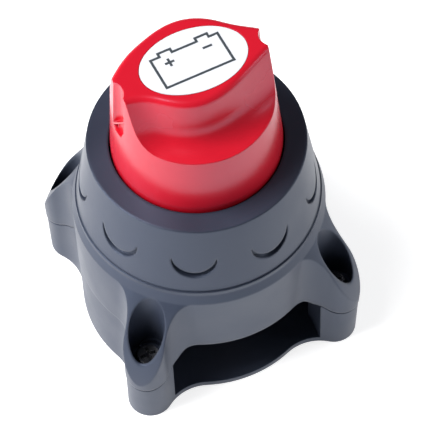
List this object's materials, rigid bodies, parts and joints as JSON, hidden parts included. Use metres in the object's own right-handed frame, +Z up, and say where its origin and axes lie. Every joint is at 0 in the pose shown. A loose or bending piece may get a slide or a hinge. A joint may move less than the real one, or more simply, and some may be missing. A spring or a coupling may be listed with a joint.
{
  "type": "rotary battery switch",
  "caption": "Surface-mounted rotary battery switch: grip knob in a collar on a round housing with screw ears, over a base tray open at two sides for cables.",
  "frame": {"origin": "centre of the underside of the base tray", "axes": "+Z up along the knob's axis, away from the mounting surface; the cable windows face -Y and +Y; the screw ears lie on the diagonals"},
  "size_m": [0.0746, 0.0746, 0.1147],
  "materials": {
    "base_plastic": "satin moulded dark blue-grey plastic",
    "housing_plastic": "satin moulded dark blue-grey plastic",
    "red_plastic": "satin gloss moulded red plastic",
    "label": "white film label with dark print",
    "black_plastic": "matt black glass-filled plastic",
    "steel": "stainless steel",
    "copper": "tinned copper",
    "nylon": "natural nylon",
    "rubber": "black nitrile rubber"
  },
  "bodies": {
    "housing": {"base_tray": "base_plastic", "upper_housing": "housing_plastic", "collar": "housing_plastic", "contact_block": "black_plastic", "stud_front": "copper", "stud_rear": "copper", "flat_washers": "steel", "lock_washers": "steel", "stud_nuts": "steel", "cover_screws": "steel", "collar_screws": "steel", "block_screws": "steel", "shaft_seal": "rubber", "stop_pin": "steel"},
    "rotor": {"knob": "red_plastic", "knob_label": "label", "knob_screw": "steel", "spindle": "steel", "thrust_washer": "nylon", "retaining_ring": "steel", "bridge_carrier": "black_plastic", "contact_springs": "steel", "contact_bridge": "copper"}
  },
  "joints": [
    {"name": "knob_turn", "type": "hinge", "parent": "housing", "child": "rotor", "pos_m": [0, 0, 0.05], "axis": [0, 0, -1], "range_deg": [0, 90]}
  ]
}
